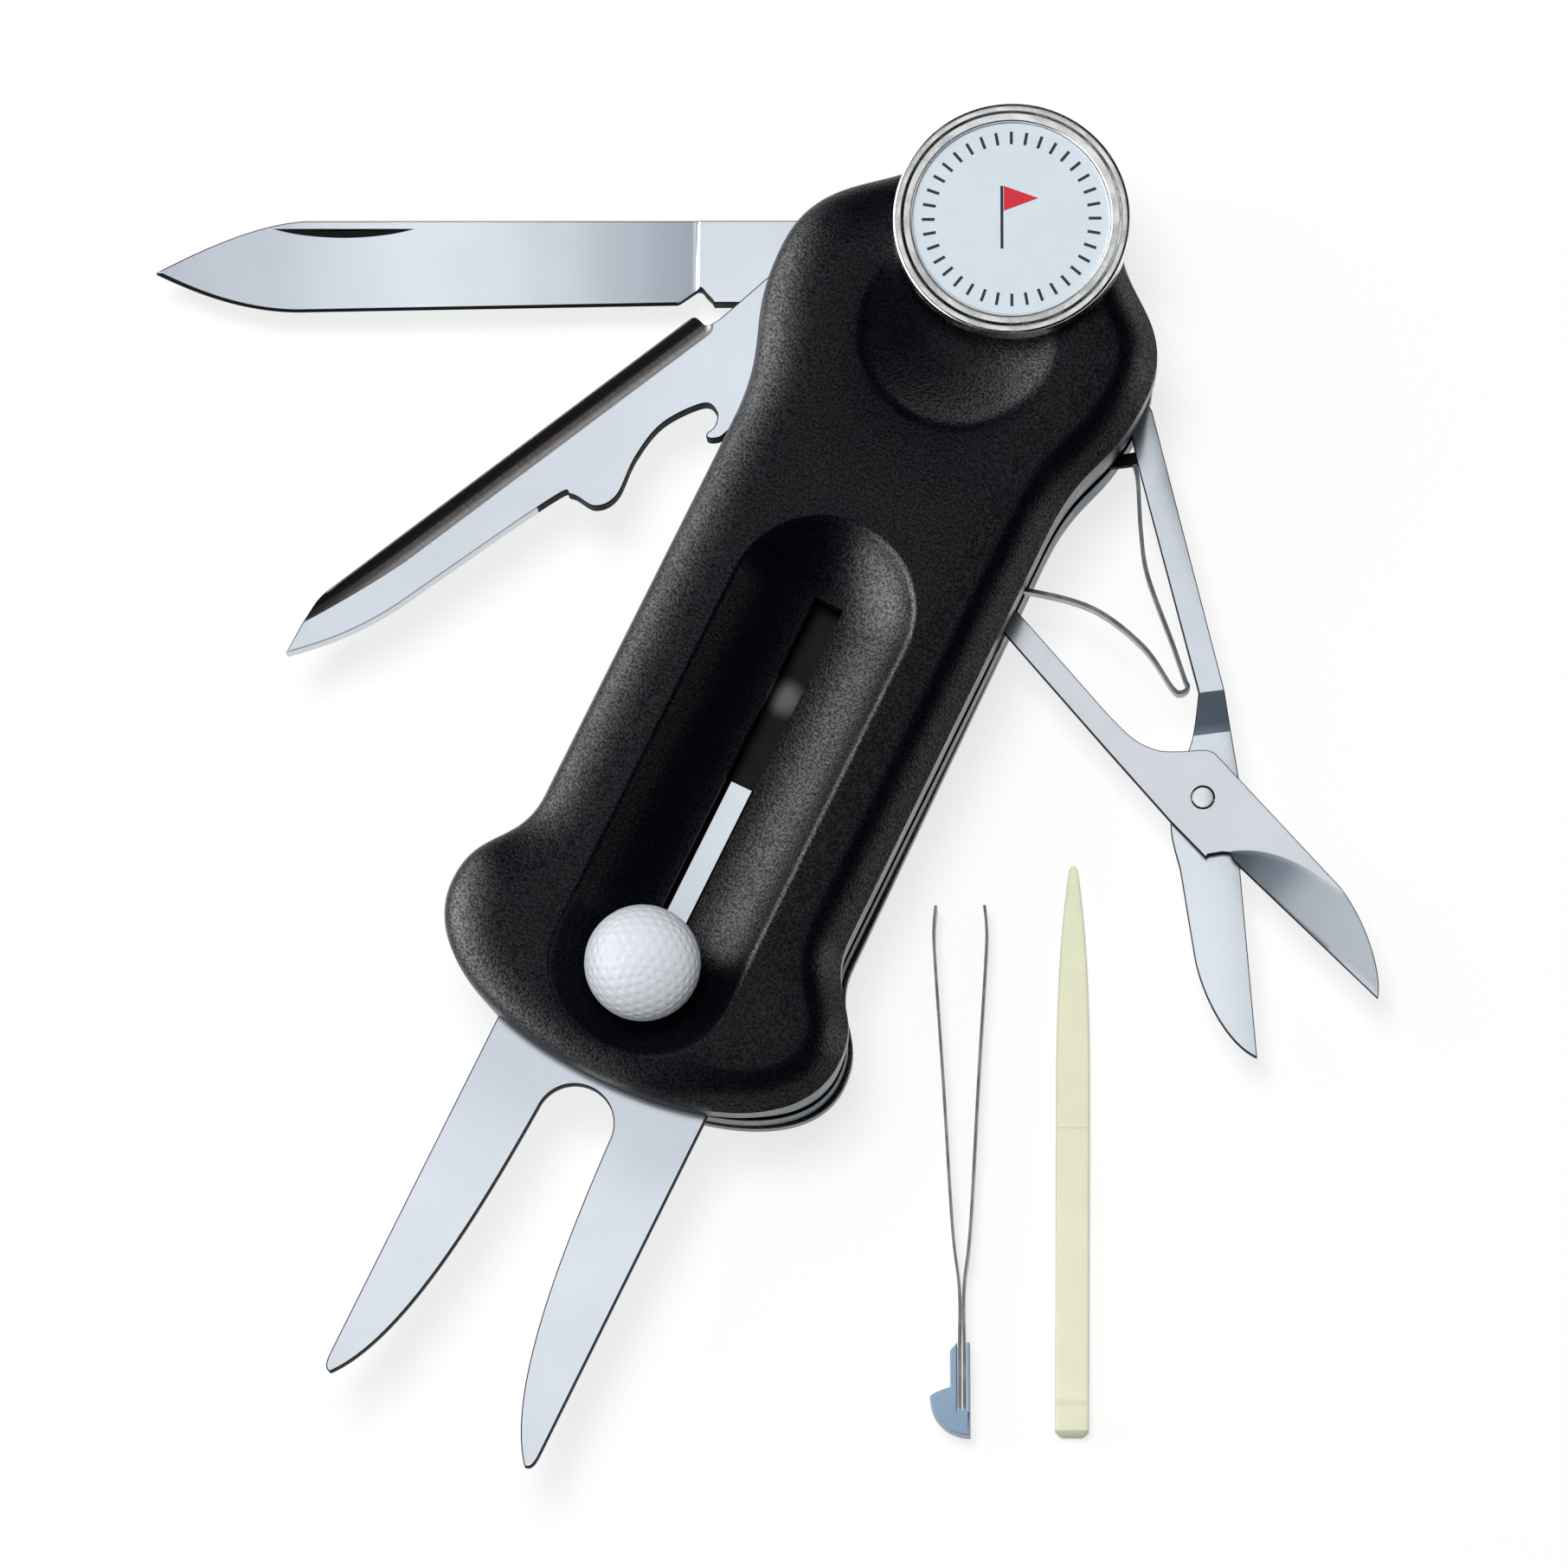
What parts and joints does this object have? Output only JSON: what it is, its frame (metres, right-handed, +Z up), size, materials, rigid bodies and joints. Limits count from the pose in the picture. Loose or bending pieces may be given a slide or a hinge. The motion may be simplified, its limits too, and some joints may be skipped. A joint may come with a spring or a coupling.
{
  "type": "divot repair tool",
  "caption": "Golf pocket tool: divot fork on a golf-ball slider in a waisted nylon handle, with folding blade, opener, sprung scissors, lift-off ball marker, tweezers and toothpick.",
  "frame": {"origin": "on the flat underside of the back scale, on the handle's centre line where its waist is", "axes": "X across the handle towards the scissors, Y along it towards the ball marker, Z up out of the front scale"},
  "size_m": [0.1233, 0.1228, 0.0258],
  "materials": {
    "black_nylon": "finely grained, matte",
    "blade_steel": "polished",
    "spring_steel": "satin",
    "chrome": "bright plated",
    "brass": "drawn",
    "white_plastic": "semi-gloss",
    "marker_print": "printed, glossy",
    "magnet": "plated grey",
    "grey_plastic": "moulded",
    "ivory_plastic": "moulded"
  },
  "bodies": {
    "handle": {"front_scale": "black_nylon", "back_scale": "black_nylon", "liner_back": "spring_steel", "liner_blade": "spring_steel", "liner_scissors": "spring_steel", "liner_fork": "spring_steel", "fork_guide_left": "spring_steel", "fork_guide_right": "spring_steel", "blade_spacer": "spring_steel", "opener_spacer": "spring_steel", "scissors_spacer": "spring_steel", "blade_spring": "spring_steel", "opener_spring": "spring_steel", "scissors_backspring": "spring_steel", "pivot_pin": "brass", "top_pin": "brass", "corner_pin_left": "brass", "corner_pin_front": "brass", "corner_pin_back": "brass", "scissors_pin": "brass", "spring_pin": "brass", "marker_magnet": "magnet"},
    "fork": {"fork": "blade_steel", "slider_stem": "blade_steel", "slider_ball": "white_plastic"},
    "blade": {"blade": "blade_steel"},
    "opener": {"opener": "blade_steel"},
    "scissors": {"scissors_blade": "blade_steel", "scissors_rivet": "blade_steel", "scissors_spring": "spring_steel"},
    "scissors_lever": {"scissors_lever": "blade_steel"},
    "marker": {"marker_rim": "chrome", "marker_insert": "marker_print"},
    "tweezers": {"tweezers_head": "grey_plastic"},
    "tweezers_leaf_left": {"tweezers_leaf_left": "blade_steel"},
    "tweezers_leaf_right": {"tweezers_leaf_right": "blade_steel"},
    "toothpick": {"toothpick": "ivory_plastic"}
  },
  "joints": [
    {"name": "fork_slide", "type": "slide", "parent": "handle", "child": "fork", "axis": [0, 1, 0], "range_m": [0, 0.034]},
    {"name": "blade_hinge", "type": "hinge", "parent": "handle", "child": "blade", "pos_m": [-0.0118, 0.0288, 0.0056], "axis": [0, 0, 1], "range_deg": [-115.5, 64.4]},
    {"name": "opener_hinge", "type": "hinge", "parent": "handle", "child": "opener", "pos_m": [-0.0118, 0.0288, 0.0108], "axis": [0, 0, 1], "range_deg": [-153.4, 26.6]},
    {"name": "scissors_hinge", "type": "hinge", "parent": "handle", "child": "scissors", "pos_m": [0.0103, 0.0036, 0.0082], "axis": [0, 0, 1], "range_deg": [-74, 16]},
    {"name": "scissors_lever_hinge", "type": "hinge", "parent": "scissors", "child": "scissors_lever", "pos_m": [0.03537, -0.00075, 0.0082], "axis": [0, 0, 1], "range_deg": [0, 33], "stiffness_Nm_per_rad": 0.05, "deforming": ["scissors_spring"]},
    {"name": "marker_lift", "type": "slide", "parent": "handle", "child": "marker", "axis": [0, 0, 1], "range_m": [0, 0.02]},
    {"name": "tweezers_lift", "type": "slide", "parent": "handle", "child": "tweezers", "axis": [0, 0, 1], "range_m": [0, 0.02]},
    {"name": "tweezers_squeeze_left", "type": "hinge", "parent": "tweezers", "child": "tweezers_leaf_left", "pos_m": [0.0348, -0.047, 0.0017], "axis": [0, 0, 1], "range_deg": [-3.3, 0], "stiffness_Nm_per_rad": 0.03, "deforming": ["tweezers_leaf_left"]},
    {"name": "tweezers_squeeze_right", "type": "hinge", "parent": "tweezers", "child": "tweezers_leaf_right", "pos_m": [0.0348, -0.047, 0.0017], "axis": [0, 0, 1], "range_deg": [0, 3.3], "stiffness_Nm_per_rad": 0.03, "deforming": ["tweezers_leaf_right"]},
    {"name": "toothpick_lift", "type": "slide", "parent": "handle", "child": "toothpick", "axis": [0, 0, 1], "range_m": [0, 0.02]}
  ],
  "couplings": [
    {"joint": "tweezers_squeeze_right", "follows": "tweezers_squeeze_left", "ratio": -1}
  ]
}
